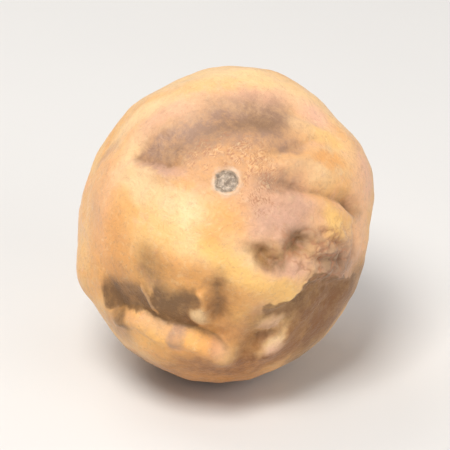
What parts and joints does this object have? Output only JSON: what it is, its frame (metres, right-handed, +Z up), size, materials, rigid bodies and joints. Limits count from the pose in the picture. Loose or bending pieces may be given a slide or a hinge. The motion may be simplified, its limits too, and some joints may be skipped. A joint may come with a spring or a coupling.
{
  "type": "dried colocynth fruit",
  "caption": "Whole dried colocynth gourd: a hard tan ball with shrunken hollows and folds, a corky stalk scar and a small flat spot to rest on.",
  "frame": {"origin": "on the small flat spot the fruit rests on, straight below the fruit's middle", "axes": "+Z up, -Y towards the viewer on the stalk scar's side, +X to the viewer's right"},
  "size_m": [0.074, 0.0761, 0.0774],
  "materials": {
    "rind": "dry, matt to softly waxy rind, tan to straw yellow with mauve-brown stains"
  },
  "bodies": {
    "root": {"fruit": "rind"}
  },
  "joints": []
}
